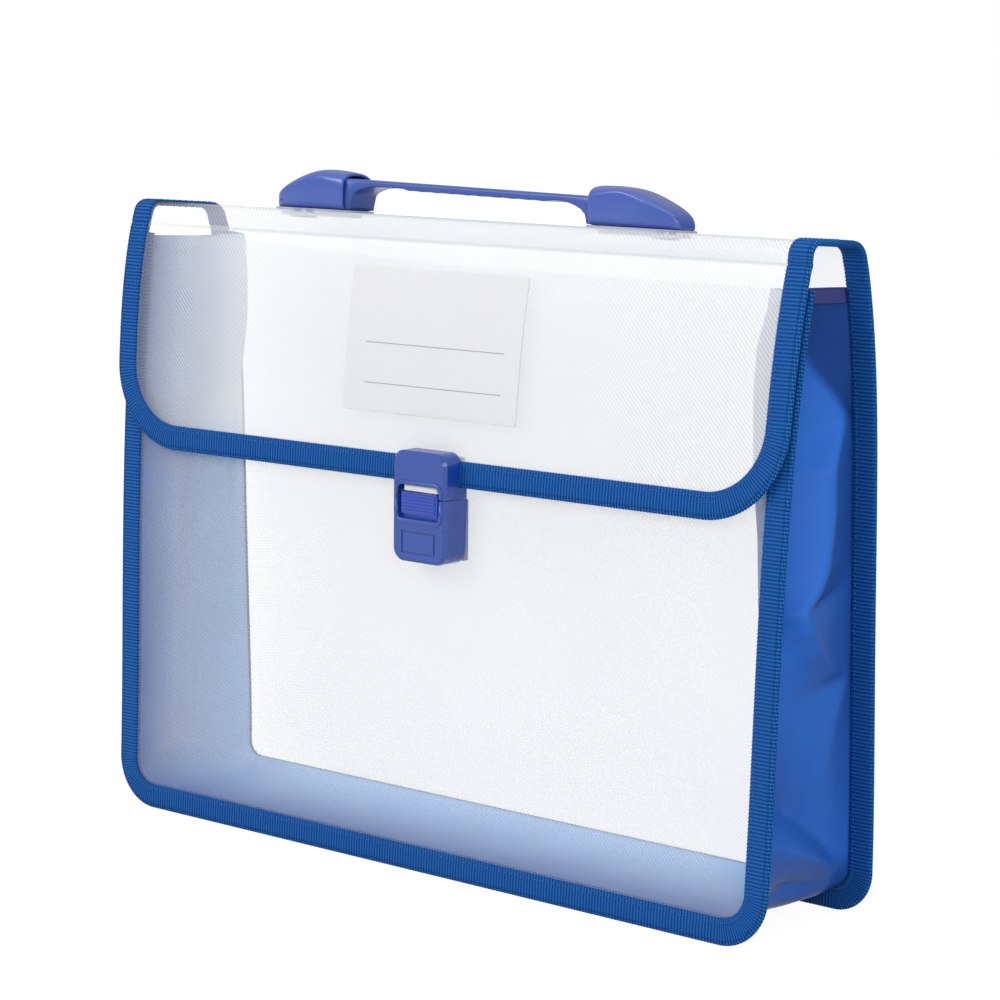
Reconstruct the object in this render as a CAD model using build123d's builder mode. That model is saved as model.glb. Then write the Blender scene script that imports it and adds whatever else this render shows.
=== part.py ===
from build123d import *
from math import cos, radians, sin, tan
import os

os.makedirs("parts", exist_ok=True)

# Driving dimensions, in millimetres. X runs along the case, -Y is the front, +Z is up.
# Depths are first written from the middle of the case, and MID moves them to the part's frame.

WIDTH = 330.0  # over the side bindings, for papers 297 wide
DEPTH = 68.3  # over the two panels at their feet
DECK_HEIGHT = 247.3  # outer face of the top band at its middle
SHEET = 0.8  # polypropylene sheet
TAPE = 0.8  # one layer of woven binding tape
TAPE_FACE = 9.8  # width of the tape on each face
FILM = 0.4  # gusset film
CLEAR = 0.3  # room between a soft piece and a neighbour on another body

# Each panel's curve is (depth, height) of its outer face, at the left and the right end.
# The sheets are soft, so the right end leans back more than the left one.
# The curves start a little under the floor line, where the outlines cut them off.
FOOT = DEPTH / 2 - TAPE
FRONT_LEFT = [(-FOOT, -2), (-30.75, 100), (-28.55, 165), (-21.55, 236)]
FRONT_RIGHT = [(-FOOT, -2), (-27.75, 100), (-23.15, 165), (-11.35, 236)]
FLAP_LEFT = [(-33.75, 145), (-31.75, 186), (-29.85, 211), (-24.35, 241)]
FLAP_RIGHT = [(-29.35, 145), (-25.15, 182), (-20.75, 212), (-14.15, 241)]
BACK = [(FOOT, -2), (31.55, 100), (29.55, 165), (26.15, 208), (19.55, 241)]

FRONT_HEAD = 231.0
FLAP_FOOT = 150.0
CREASE = 239.8  # height of both hinge creases
CREASE_GAP = 0.3
CREASE_HALF = CREASE_GAP / 2
FRONT_CORNER = 20.0  # outer corner radii
BACK_CORNER = 16.0
FLAP_CORNER = 34.0

DECK_SLOPE = 4.0  # degrees, falling to the back
REAR_FOOT = 19.65  # depths of the arch's feet and shoulders, outer face
REAR_SHOULDER = 17.75
FRONT_SHOULDER_LEFT = -21.75
FRONT_SHOULDER_RIGHT = -13.15
FRONT_FOOT_LEFT = -24.65
FRONT_FOOT_RIGHT = -14.45
REAR_RADIUS = 7.5
FRONT_RADIUS = 5.5

GUSSET_INSET = 10.0  # the film comes out at the inner edge of the tapes
GUSSET_HEAD = 230.0

LABEL_X = 2.0
LABEL_WIDTH = 85.5
LABEL_FOOT = 174.8
LABEL_HEIGHT = 54.4
LABEL_THICK = 0.3

HANDLE_Y = 0.0
HOOD_MOUTH = 61.8
HOOD_BELLY = 82.0
HOOD_TIP = 100.0
HOOD_HALF = 9.0
HOOD_HEIGHT = 15.0
HOOD_PAD = 0.8
HOOD_CAVE = 87.0
HOOD_CAVE_HALF = 7.4
HOOD_CAVE_HEIGHT = 12.6
STRAP_HALF = 7.0
STRAP_TOP = 11.9
STRAP_UNDER = 8.9
STRAP_THIN = 9.6
STRAP_TAPER = 34.0  # where the underside levels out
STRAP_SOLE = 1.0
STRAP_EDGE = 0.8
FOOT_INNER = 58.0
FOOT_OUTER = 80.0
FOOT_FILLET = 5.0
BACKING = 1.2

CLASP_X = 7.0
CLASP_HALF = 13.4
CLASP_FRONT = 39.45  # depth of its face in front of the middle
CLASP_HEAD = 163.0
CLASP_SEAM = 145.8
CLASP_FOOT = 121.0
CLASP_CORNER = 5.0
CLASP_EDGE = 1.2
WINDOW_HALF = 10.5
WINDOW_FOOT = 137.3
WINDOW_HEAD = 150.4
WINDOW_CORNER = 2.5
WINDOW_DEPTH = 4.0  # deeper than the wall of the lower half, into its cave
BUTTON_HALF = 9.0
BUTTON_FOOT = 139.2
BUTTON_HEAD = 147.5
BUTTON_FACE = 38.85
BUTTON_DEPTH = 3.2
BUTTON_RIBS = 6
RIB_PITCH = 1.25
RIB_HEIGHT = 0.4
BUTTON_CORNER = 1.0
SEAM_GAP = 0.3
CLASP_WALL = 1.8
CAVE_FOOT = 133.6
CAVE_HALF = 12.0
CAVE_DEPTH = 8.0
FLANGE_HEAD = 145.0  # top of the plate that keeps the button in its cave
FLANGE_GAP = 0.4
FLANGE_THICK = 1.6
FRAME_MIDDLE = 128.6
FRAME_WIDTH = 16.7
FRAME_HEIGHT = 8.5
FRAME_LINE = 0.6
FRAME_DEPTH = 0.4
FLAP_REAR = 27.35  # back of the flap's half of the clasp
PLATE_HEAD = 161.0
LOWER_REAR = 25.15  # back of the plate inside the front panel
LOWER_ROOT = 16.15  # a depth well behind the front panel, where the lower half is trimmed
PLATE_STOCK = 6.0  # a plate before the sheet in front of it is cut away
PLATE_INSET = 1.0
PIN = 1.4  # radius of every pin
PIN_FIT = 0.05
PIN_GAP = 0.2  # room past a pin's end
FLAP_PIN_PLACES = [(CLASP_X - 8, 155.5), (CLASP_X + 8, 155.5)]
FLAP_PIN_END = 36.95
LOWER_PIN_PLACES = [(CLASP_X - 9, 128.0), (CLASP_X + 9, 128.0)]
LOWER_PIN_END = 35.95

HOOD_PIN_PLACES = [(side * 91.0, depth) for side in (-1, 1) for depth in (-3.5, 3.5)]
RIVET_HEAD = 2.8
RIVET_HEAD_THICK = 0.9
RIVET_REACH = 3.8  # how far a rivet goes up into its hood
BACKING_HALF = 6.5
BACKING_LEVEL = -SHEET - BACKING - 0.1

HALF = WIDTH / 2
MID = (CLASP_FRONT - DEPTH / 2) / 2  # centres the whole part on the frame
STATION = HALF + 5  # where the end curves stand, just past the ends of the case
REACH = 60.0  # long enough to cut through the case from its middle
BEYOND = 20.0  # far enough past a sheet to clear the whole clasp


# Planes

FACE = Plane(origin=(0, MID, 0), x_dir=(1, 0, 0), z_dir=(0, -1, 0))
SLOPE = radians(DECK_SLOPE)


def deck_height(depth):
    return DECK_HEIGHT - tan(SLOPE) * depth


DECK = Plane(
    origin=(0, MID + HANDLE_Y, deck_height(HANDLE_Y)),
    x_dir=(1, 0, 0),
    z_dir=(0, sin(SLOPE), cos(SLOPE)),
)
HANDLE_SIDE = Plane(origin=DECK.origin, x_dir=(1, 0, 0), z_dir=-DECK.y_dir)


def across(x):
    """The plane across the case at x, on which x is depth and y is height."""
    return Plane(origin=(x, MID, 0), x_dir=(0, 1, 0), z_dir=(1, 0, 0))


# Curved shells that the flat outlines are cut from


def upright_section(x, curve, near, far):
    with BuildSketch(across(x)) as section:
        with BuildLine():
            outer = Spline(*[(depth + near, height) for depth, height in curve])
            inner = Spline(*[(depth + far, height) for depth, height in curve])
            Line(outer @ 0, inner @ 0)
            Line(outer @ 1, inner @ 1)
        make_face()
    return section.sketch


def upright_shell(left, right, near, far):
    """A wall that turns evenly from the left end's curve to the right end's."""
    sections = [
        upright_section(-STATION, left, near, far),
        upright_section(STATION, right, near, far),
    ]
    return loft(sections, ruled=True)


def arch_points(shoulder, foot, inset):
    return [
        (REAR_FOOT - inset, CREASE + CREASE_HALF),
        (REAR_SHOULDER - inset, deck_height(REAR_SHOULDER) - inset),
        (shoulder + inset, deck_height(shoulder) - inset),
        (foot + inset, CREASE + CREASE_HALF),
    ]


def arch_section(x, shoulder, foot, near, far):
    with BuildSketch(across(x)) as section:
        with BuildLine():
            outer_radii = (REAR_RADIUS - near, FRONT_RADIUS - near)
            inner_radii = (REAR_RADIUS - far, FRONT_RADIUS - far)
            outer = FilletPolyline(*arch_points(shoulder, foot, near), radius=outer_radii)
            inner = FilletPolyline(*arch_points(shoulder, foot, far), radius=inner_radii)
            Line(outer @ 0, inner @ 0)
            Line(outer @ 1, inner @ 1)
        make_face()
    return section.sketch


def arch_shell(near, far):
    sections = [
        arch_section(-STATION, FRONT_SHOULDER_LEFT, FRONT_FOOT_LEFT, near, far),
        arch_section(STATION, FRONT_SHOULDER_RIGHT, FRONT_FOOT_RIGHT, near, far),
    ]
    return loft(sections, ruled=True)


# Outlines, seen from the front


def panel_outline(inset, foot, head, corner):
    with BuildSketch(FACE) as outline:
        with Locations((0, (foot + head) / 2)):
            Rectangle(WIDTH - 2 * inset, head - foot)
        fillet(outline.vertices().group_by(Axis.Y)[0], corner)
    return outline.sketch


def cut_panel(shell, foot, head, corner):
    with BuildPart() as panel:
        add(shell)
        outline = panel_outline(TAPE, foot + TAPE, head, corner - TAPE)
        extrude(outline, amount=REACH, both=True, mode=Mode.INTERSECT)
    return panel.part


def cut_binding(shell, panel, foot, head, corner):
    """A tape folded over both faces of the panel, down one side, along the foot and up again."""
    with BuildPart() as binding:
        add(shell)
        outer = panel_outline(0, foot, head, corner)
        extrude(outer, amount=REACH, both=True, mode=Mode.INTERSECT)
        inner = panel_outline(TAPE_FACE, foot + TAPE_FACE, head + 5, corner - TAPE_FACE + 3)
        extrude(inner, amount=REACH, both=True, mode=Mode.SUBTRACT)
        add(panel, mode=Mode.SUBTRACT)
    return binding.part


def pins(places, rear, front):
    """Round pins along Y, between two depths in front of the middle."""
    with BuildPart() as group:
        with BuildSketch(FACE.offset(rear)):
            with Locations(*places):
                Circle(PIN)
        extrude(amount=front - rear)
    return group.part


def pin_holes(places, front):
    """Drills for the pins, from the middle of the case: 12 flat sides that clear a round pin."""
    with BuildPart() as group:
        with BuildSketch(FACE):
            with Locations(*places):
                RegularPolygon(PIN + PIN_FIT, 12, major_radius=False)
        extrude(amount=front + PIN_GAP)
    return group.part


front_sheet = upright_shell(FRONT_LEFT, FRONT_RIGHT, 0, SHEET)
front_wrap = upright_shell(FRONT_LEFT, FRONT_RIGHT, -TAPE, SHEET + TAPE)
flap_sheet = upright_shell(FLAP_LEFT, FLAP_RIGHT, 0, SHEET)
flap_wrap = upright_shell(FLAP_LEFT, FLAP_RIGHT, -TAPE, SHEET + TAPE)
back_sheet = upright_shell(BACK, BACK, 0, -SHEET)
back_wrap = upright_shell(BACK, BACK, TAPE, -SHEET - TAPE)
arch_sheet = arch_shell(0, SHEET)
arch_wrap = arch_shell(-TAPE, SHEET + TAPE)

flap_pin_holes = pin_holes(FLAP_PIN_PLACES, FLAP_PIN_END)
lower_pin_holes = pin_holes(LOWER_PIN_PLACES, LOWER_PIN_END)


# Back panel with its binding

with BuildPart() as back_panel:
    add(cut_panel(back_sheet, 0, CREASE - CREASE_HALF, BACK_CORNER))
back_panel.part.label = "back_panel"

with BuildPart() as back_binding:
    add(cut_binding(back_wrap, back_panel.part, 0, CREASE - CREASE_HALF, BACK_CORNER))
back_binding.part.label = "back_binding"


# Front panel with its binding

with BuildPart() as front_panel:
    add(cut_panel(front_sheet, 0, FRONT_HEAD, FRONT_CORNER))
    add(lower_pin_holes, mode=Mode.SUBTRACT)
front_panel.part.label = "front_panel"

with BuildPart() as front_binding:
    add(cut_binding(front_wrap, front_panel.part, 0, FRONT_HEAD, FRONT_CORNER))
front_binding.part.label = "front_binding"


# Gusset film: up both sides and along the foot, between the two bindings


def gusset_core():
    sections = []
    for x, curve in ((-STATION, FRONT_LEFT), (STATION, FRONT_RIGHT)):
        with BuildSketch(across(x)) as section:
            with BuildLine():
                inside = SHEET + TAPE + CLEAR
                front = Spline(*[(depth + inside, height) for depth, height in curve])
                back = Spline(*[(depth - SHEET - TAPE, height) for depth, height in BACK])
                Line(front @ 0, back @ 0)
                Line(front @ 1, back @ 1)
            make_face()
        sections.append(section.sketch)
    return loft(sections, ruled=True)


with BuildPart() as gusset:
    add(gusset_core())
    strip = panel_outline(GUSSET_INSET, GUSSET_INSET, GUSSET_HEAD, BACK_CORNER - GUSSET_INSET)
    extrude(strip, amount=REACH, both=True, mode=Mode.INTERSECT)
    hollow = GUSSET_INSET + FILM
    inside = panel_outline(hollow, hollow, GUSSET_HEAD + 5, BACK_CORNER - hollow)
    extrude(inside, amount=REACH, both=True, mode=Mode.SUBTRACT)
gusset.part.label = "gusset"


# Top band between the two creases, with a binding at each end

with BuildPart() as top_panel:
    add(arch_sheet)
    with BuildSketch(Plane.XY):
        Rectangle(WIDTH - 2 * TAPE, 4 * REACH)
    extrude(amount=2 * DECK_HEIGHT, mode=Mode.INTERSECT)
    with BuildSketch(DECK.offset(-5)):
        with Locations(*HOOD_PIN_PLACES):
            Circle(PIN + PIN_FIT)
    extrude(amount=10, mode=Mode.SUBTRACT)
top_panel.part.label = "top_panel"


def top_binding(side):
    with BuildPart() as binding:
        add(arch_wrap)
        with BuildSketch(Plane.XY):
            with Locations((side * (HALF - TAPE_FACE / 2), 0)):
                Rectangle(TAPE_FACE, 4 * REACH)
        extrude(amount=2 * DECK_HEIGHT, mode=Mode.INTERSECT)
        add(top_panel.part, mode=Mode.SUBTRACT)
    return binding.part


with BuildPart() as top_binding_left:
    add(top_binding(-1))
top_binding_left.part.label = "top_binding_left"

with BuildPart() as top_binding_right:
    add(top_binding(1))
top_binding_right.part.label = "top_binding_right"


# Flap with its binding and label

with BuildPart() as flap_panel:
    add(cut_panel(flap_sheet, FLAP_FOOT, CREASE - CREASE_HALF, FLAP_CORNER))
    add(flap_pin_holes, mode=Mode.SUBTRACT)
flap_panel.part.label = "flap_panel"

with BuildPart() as flap_binding:
    add(cut_binding(flap_wrap, flap_panel.part, FLAP_FOOT, CREASE - CREASE_HALF, FLAP_CORNER))
    add(flap_pin_holes, mode=Mode.SUBTRACT)
flap_binding.part.label = "flap_binding"

with BuildPart() as label_card:
    add(upright_shell(FLAP_LEFT, FLAP_RIGHT, -LABEL_THICK, 0))
    with BuildSketch(FACE):
        with Locations((LABEL_X, LABEL_FOOT + LABEL_HEIGHT / 2)):
            RectangleRounded(LABEL_WIDTH, LABEL_HEIGHT, 1.5)
    extrude(amount=REACH, both=True, mode=Mode.INTERSECT)
label_card.part.label = "label_card"


# Handle: clear pads, hoods, backing plates and rivets, and the strap that runs into the hoods

with BuildPart() as hood_right:
    with BuildSketch(DECK.offset(HOOD_PAD)):
        with BuildLine():
            side = Line((HOOD_MOUTH, -HOOD_HALF), (HOOD_BELLY, -HOOD_HALF))
            Spline(side @ 1, (HOOD_TIP - 6, -6.2), (HOOD_TIP, 0), tangents=((1, 0), (0, 1)))
            mirror(about=Plane.XZ)
            Line((HOOD_MOUTH, -HOOD_HALF), (HOOD_MOUTH, HOOD_HALF))
        make_face()
    extrude(amount=HOOD_HEIGHT + 5)
    with BuildSketch(HANDLE_SIDE):
        with BuildLine():
            base = Line((HOOD_TIP + 0.2, HOOD_PAD), (HOOD_MOUTH, HOOD_PAD))
            mouth = Line(base @ 1, (HOOD_MOUTH, HOOD_HEIGHT - 4))
            brow = Spline(mouth @ 1, (HOOD_MOUTH + 5, HOOD_HEIGHT), tangents=((0, 1), (1, 0)))
            crown = Line(brow @ 1, (HOOD_BELLY - 4, HOOD_HEIGHT))
            Spline(
                crown @ 1,
                (HOOD_TIP - 10, HOOD_HEIGHT - 4.4),
                (HOOD_TIP + 0.2, HOOD_PAD),
                tangents=((1, 0), (0.35, -1)),
            )
        make_face()
    extrude(amount=REACH, both=True, mode=Mode.INTERSECT)
    ridge = hood_right.edges().filter_by(lambda e: (DECK.to_local_coords(e.center())).Z > 6)
    ridge = ridge.filter_by(lambda e: abs(DECK.to_local_coords(e.center()).Y) > 4)
    ridge = ridge.filter_by(lambda e: DECK.to_local_coords(e.center()).X > HOOD_MOUTH + 0.5)
    fillet(ridge, 2.5)
    with BuildSketch(DECK.offset(HOOD_PAD)):
        with Locations(((HOOD_MOUTH + HOOD_CAVE) / 2 - 1, 0)):
            Rectangle(HOOD_CAVE - HOOD_MOUTH + 2, 2 * HOOD_CAVE_HALF)
    extrude(amount=HOOD_CAVE_HEIGHT - HOOD_PAD, mode=Mode.SUBTRACT)
    with BuildSketch(DECK.offset(HOOD_PAD)):
        with Locations(*[place for place in HOOD_PIN_PLACES if place[0] > 0]):
            Circle(PIN + PIN_FIT)
    extrude(amount=RIVET_REACH + PIN_GAP - HOOD_PAD, mode=Mode.SUBTRACT)
hood_right.part.label = "hood_right"

with BuildPart() as hood_left:
    add(mirror(hood_right.part, about=Plane.YZ, mode=Mode.PRIVATE))
hood_left.part.label = "hood_left"

PAD_INNER = HOOD_MOUTH - 5
PAD_OUTER = HOOD_TIP + 2


def under_hood(side, inner, outer, half, level, thick):
    """A thin plate along the deck under one hood, with holes for that hood's rivets."""
    with BuildPart() as plate:
        with BuildSketch(DECK.offset(level)):
            with Locations((side * (inner + outer) / 2, 0)):
                RectangleRounded(outer - inner, 2 * half, half - 1)
            with Locations(*[place for place in HOOD_PIN_PLACES if place[0] * side > 0]):
                Circle(PIN + PIN_FIT, mode=Mode.SUBTRACT)
        extrude(amount=thick)
    return plate.part


with BuildPart() as hood_pad_left:
    add(under_hood(-1, PAD_INNER, PAD_OUTER, HOOD_HALF + 0.4, 0, HOOD_PAD))
hood_pad_left.part.label = "hood_pad_left"

with BuildPart() as hood_pad_right:
    add(under_hood(1, PAD_INNER, PAD_OUTER, HOOD_HALF + 0.4, 0, HOOD_PAD))
hood_pad_right.part.label = "hood_pad_right"

with BuildPart() as hood_backing_left:
    add(under_hood(-1, HOOD_MOUTH, HOOD_TIP, BACKING_HALF, BACKING_LEVEL, BACKING))
hood_backing_left.part.label = "hood_backing_left"

with BuildPart() as hood_backing_right:
    add(under_hood(1, HOOD_MOUTH, HOOD_TIP, BACKING_HALF, BACKING_LEVEL, BACKING))
hood_backing_right.part.label = "hood_backing_right"

with BuildPart() as hood_rivets:
    with BuildSketch(DECK.offset(BACKING_LEVEL - RIVET_HEAD_THICK)):
        with Locations(*HOOD_PIN_PLACES):
            Circle(RIVET_HEAD)
    extrude(amount=RIVET_HEAD_THICK)
    with BuildSketch(DECK.offset(BACKING_LEVEL)):
        with Locations(*HOOD_PIN_PLACES):
            Circle(PIN)
    extrude(amount=RIVET_REACH - BACKING_LEVEL)
hood_rivets.part.label = "hood_rivets"

with BuildPart() as handle_strap:
    with BuildSketch(HANDLE_SIDE):
        with BuildLine():
            sole = Line((FOOT_OUTER, STRAP_SOLE), (FOOT_INNER, STRAP_SOLE))
            Line(sole @ 1, (FOOT_INNER, STRAP_THIN - FOOT_FILLET))
            bend = (FOOT_INNER - FOOT_FILLET, STRAP_THIN - FOOT_FILLET)
            ankle = CenterArc(bend, FOOT_FILLET, 0, 90)
            taper = Line(ankle @ 1, (STRAP_TAPER, STRAP_UNDER))
            Line(taper @ 1, (0, STRAP_UNDER))
            Line((0, STRAP_TOP), (FOOT_OUTER, STRAP_TOP))
            Line((FOOT_OUTER, STRAP_TOP), sole @ 0)
            mirror(about=Plane.YZ)
        make_face()
    extrude(amount=STRAP_HALF, both=True)
    level_edges = handle_strap.edges().filter_by(Axis.X).filter_by(lambda e: e.length > 100)
    fillet(level_edges, STRAP_EDGE)
handle_strap.part.label = "handle_strap"


# Clasp: the flap's half, the panel's half and the button between them


def clasp_block(foot, head, rear, rounded):
    """A block from the clasp's face back to rear, with the corners at one end rounded."""
    with BuildSketch(FACE.offset(CLASP_FRONT)) as outline:
        with Locations((CLASP_X, (foot + head) / 2)):
            Rectangle(2 * CLASP_HALF, head - foot)
        fillet(outline.vertices().group_by(Axis.Y)[rounded], CLASP_CORNER)
    with BuildPart() as block:
        extrude(outline.sketch, amount=rear - CLASP_FRONT)
        rim = block.edges().group_by(Axis.Y)[0]
        rim = rim.filter_by(lambda e: abs(e.center().Z - CLASP_SEAM) > 1)
        chamfer(rim, CLASP_EDGE)
    return block.part


def window_sketch():
    with BuildSketch(FACE.offset(CLASP_FRONT + 1)) as window:
        with Locations((CLASP_X, (WINDOW_FOOT + WINDOW_HEAD) / 2)):
            Rectangle(2 * WINDOW_HALF, WINDOW_HEAD - WINDOW_FOOT)
        fillet(window.vertices(), WINDOW_CORNER)
    return window.sketch


behind_flap_tape = upright_shell(FLAP_LEFT, FLAP_RIGHT, -TAPE, BEYOND)
before_flap_tape = upright_shell(FLAP_LEFT, FLAP_RIGHT, -BEYOND, SHEET + TAPE)
behind_front_sheet = upright_shell(FRONT_LEFT, FRONT_RIGHT, 0, BEYOND)
before_front_sheet = upright_shell(FRONT_LEFT, FRONT_RIGHT, -BEYOND, SHEET)

with BuildPart() as flap_room:
    add(behind_flap_tape)
    with BuildSketch(Plane.XY.offset(FLAP_FOOT)):
        Rectangle(4 * CLASP_HALF, 4 * REACH)
    extrude(amount=40, mode=Mode.INTERSECT)

with BuildPart() as clasp_upper:
    add(clasp_block(CLASP_SEAM + SEAM_GAP / 2, CLASP_HEAD, FLAP_REAR, -1))
    add(flap_room.part, mode=Mode.SUBTRACT)
    extrude(window_sketch(), amount=-REACH, mode=Mode.SUBTRACT)
    add(flap_pin_holes, mode=Mode.SUBTRACT)
clasp_upper.part.label = "clasp_upper"

with BuildPart() as clasp_upper_back:
    with BuildSketch(FACE.offset(FLAP_REAR)):
        with Locations((CLASP_X, (FLAP_FOOT + PLATE_HEAD) / 2)):
            Rectangle(2 * CLASP_HALF - 2 * PLATE_INSET, PLATE_HEAD - FLAP_FOOT)
    extrude(amount=PLATE_STOCK)
    add(before_flap_tape, mode=Mode.SUBTRACT)
    add(flap_pin_holes, mode=Mode.SUBTRACT)
clasp_upper_back.part.label = "clasp_upper_back"

with BuildPart() as clasp_upper_pins:
    add(pins(FLAP_PIN_PLACES, FLAP_REAR, FLAP_PIN_END))
clasp_upper_pins.part.label = "clasp_upper_pins"

with BuildPart() as clasp_lower:
    add(clasp_block(CLASP_FOOT, CLASP_SEAM - SEAM_GAP / 2, LOWER_ROOT, 0))
    add(behind_front_sheet, mode=Mode.SUBTRACT)
    extrude(window_sketch(), amount=-WINDOW_DEPTH, mode=Mode.SUBTRACT)
    with BuildSketch(FACE.offset(CLASP_FRONT - CLASP_WALL)):
        with Locations((CLASP_X, (CAVE_FOOT + CLASP_SEAM + 1) / 2)):
            Rectangle(2 * CAVE_HALF, CLASP_SEAM + 1 - CAVE_FOOT)
    extrude(amount=-CAVE_DEPTH, mode=Mode.SUBTRACT)
    with BuildSketch(FACE.offset(CLASP_FRONT)):
        with Locations((CLASP_X, FRAME_MIDDLE)):
            Rectangle(FRAME_WIDTH, FRAME_HEIGHT)
            inner_width = FRAME_WIDTH - 2 * FRAME_LINE
            Rectangle(inner_width, FRAME_HEIGHT - 2 * FRAME_LINE, mode=Mode.SUBTRACT)
    extrude(amount=-FRAME_DEPTH, mode=Mode.SUBTRACT)
    add(lower_pin_holes, mode=Mode.SUBTRACT)
clasp_lower.part.label = "clasp_lower"

with BuildPart() as clasp_lower_back:
    with BuildSketch(FACE.offset(LOWER_REAR)):
        with Locations((CLASP_X, (CLASP_FOOT + CLASP_SEAM) / 2)):
            width = 2 * CLASP_HALF - 2 * PLATE_INSET
            Rectangle(width, CLASP_SEAM - CLASP_FOOT - 2 * PLATE_INSET)
    extrude(amount=PLATE_STOCK)
    add(before_front_sheet, mode=Mode.SUBTRACT)
    add(lower_pin_holes, mode=Mode.SUBTRACT)
clasp_lower_back.part.label = "clasp_lower_back"

with BuildPart() as clasp_lower_pins:
    add(pins(LOWER_PIN_PLACES, LOWER_REAR, LOWER_PIN_END))
clasp_lower_pins.part.label = "clasp_lower_pins"

with BuildPart() as clasp_button:
    with BuildSketch(FACE.offset(BUTTON_FACE)):
        with Locations((CLASP_X, (BUTTON_FOOT + BUTTON_HEAD) / 2)):
            Rectangle(2 * BUTTON_HALF, BUTTON_HEAD - BUTTON_FOOT)
    extrude(amount=-BUTTON_DEPTH)
    fillet(clasp_button.edges().filter_by(Axis.Y), BUTTON_CORNER)
    with BuildSketch(FACE.offset(BUTTON_FACE)):
        with Locations((CLASP_X, (BUTTON_FOOT + BUTTON_HEAD) / 2)):
            with GridLocations(1, RIB_PITCH, 1, BUTTON_RIBS):
                Rectangle(2 * BUTTON_HALF - 2, RIB_PITCH / 2)
    extrude(amount=RIB_HEIGHT)
    with BuildSketch(FACE.offset(CLASP_FRONT - CLASP_WALL - FLANGE_GAP / 2)):
        with Locations((CLASP_X, (CAVE_FOOT + FLANGE_HEAD) / 2)):
            width = 2 * CAVE_HALF - 2 * FLANGE_GAP
            Rectangle(width, FLANGE_HEAD - CAVE_FOOT - 2 * FLANGE_GAP)
    extrude(amount=-FLANGE_THICK)
clasp_button.part.label = "clasp_button"


ALL = [
    back_panel,
    back_binding,
    gusset,
    front_panel,
    front_binding,
    top_panel,
    top_binding_left,
    top_binding_right,
    flap_panel,
    flap_binding,
    label_card,
    hood_left,
    hood_right,
    hood_pad_left,
    hood_pad_right,
    hood_backing_left,
    hood_backing_right,
    hood_rivets,
    handle_strap,
    clasp_upper,
    clasp_upper_back,
    clasp_upper_pins,
    clasp_lower,
    clasp_lower_back,
    clasp_lower_pins,
    clasp_button,
]

for piece in ALL:
    export_step(piece.part, f"parts/{piece.part.label}.step")
    box = piece.part.bounding_box()
    print(piece.part.label, box.min, box.max)
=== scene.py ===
# %% [markdown]
# # A translucent expanding file
# This lesson dresses an upright document case: frosted ribbed sheets, woven tape round their edges,
# a shiny blue film that folds between them, a hand strap in two hoods, and a push-button clasp.
# Every piece made here is in metres, in the frame of model.glb, and some are attached to one of the
# case's bodies.

import math

import bmesh
import bpy
import numpy as np
from mathutils import Matrix, Vector


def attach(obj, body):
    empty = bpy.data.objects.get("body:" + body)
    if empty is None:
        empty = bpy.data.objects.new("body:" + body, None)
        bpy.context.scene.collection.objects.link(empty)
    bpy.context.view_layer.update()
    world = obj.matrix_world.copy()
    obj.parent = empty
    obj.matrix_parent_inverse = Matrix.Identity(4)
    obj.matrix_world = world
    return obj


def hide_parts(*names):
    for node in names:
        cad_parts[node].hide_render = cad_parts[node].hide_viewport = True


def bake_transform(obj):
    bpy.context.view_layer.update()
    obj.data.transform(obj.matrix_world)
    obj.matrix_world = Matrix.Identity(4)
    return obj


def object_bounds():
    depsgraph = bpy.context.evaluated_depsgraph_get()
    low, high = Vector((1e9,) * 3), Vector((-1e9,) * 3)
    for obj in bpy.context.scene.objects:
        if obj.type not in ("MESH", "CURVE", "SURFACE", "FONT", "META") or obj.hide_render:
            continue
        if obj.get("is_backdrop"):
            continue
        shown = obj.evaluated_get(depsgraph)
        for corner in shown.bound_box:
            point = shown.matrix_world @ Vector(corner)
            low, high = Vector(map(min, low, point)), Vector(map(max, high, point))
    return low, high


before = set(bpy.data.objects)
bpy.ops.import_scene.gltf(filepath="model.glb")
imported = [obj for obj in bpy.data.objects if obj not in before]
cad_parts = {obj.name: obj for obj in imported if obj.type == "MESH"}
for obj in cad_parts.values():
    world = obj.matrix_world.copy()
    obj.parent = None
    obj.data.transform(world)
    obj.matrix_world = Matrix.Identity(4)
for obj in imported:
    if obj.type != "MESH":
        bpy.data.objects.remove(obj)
cad_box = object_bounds()
scene = bpy.context.scene
print("CAD box in mm:", [[round(v * 1000, 1) for v in corner] for corner in cad_box])

# %% [markdown]
# ## The camera
# The case is seen from its right, a little from above, through a long lens, which keeps parallel
# edges nearly parallel. A Track To constraint could aim the camera, but three turns say exactly
# what it does: yaw about the upright, pitch down from the horizon, and a small roll.

# %% Set up the camera
FOCAL_PIXELS = 3097.3  # for a picture 1000 pixels wide
YAW, PITCH, ROLL = 40.538, 8.486, 0.603
CAMERA_PLACE = Vector((0.77282, -0.88531, 0.31578))

camera_data = bpy.data.cameras.new("camera")
camera_data.sensor_width = 36.0
camera_data.lens = FOCAL_PIXELS / 1000.0 * 36.0
camera = bpy.data.objects.new("camera", camera_data)
scene.collection.objects.link(camera)
camera.matrix_world = (
    Matrix.Translation(CAMERA_PLACE)
    @ Matrix.Rotation(math.radians(YAW), 4, "Z")
    @ Matrix.Rotation(math.radians(90 - PITCH), 4, "X")
    @ Matrix.Rotation(math.radians(ROLL), 4, "Z")
)
scene.camera = camera
print("lens in mm:", round(camera_data.lens, 1))

# %% [markdown]
# ## The shape of the sheets
# The back, the top band and the flap are one plastic sheet, bent softly at the rear top edge and
# creased at the front top edge. The front panel is a second sheet. The case is soft, so its two
# ends curve a little differently. A subdivision surface could follow such curves, but numbers are
# easier to keep true to the frame: each curve is a polynomial through a few measured points, and x
# slides from one end to the other.

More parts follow.
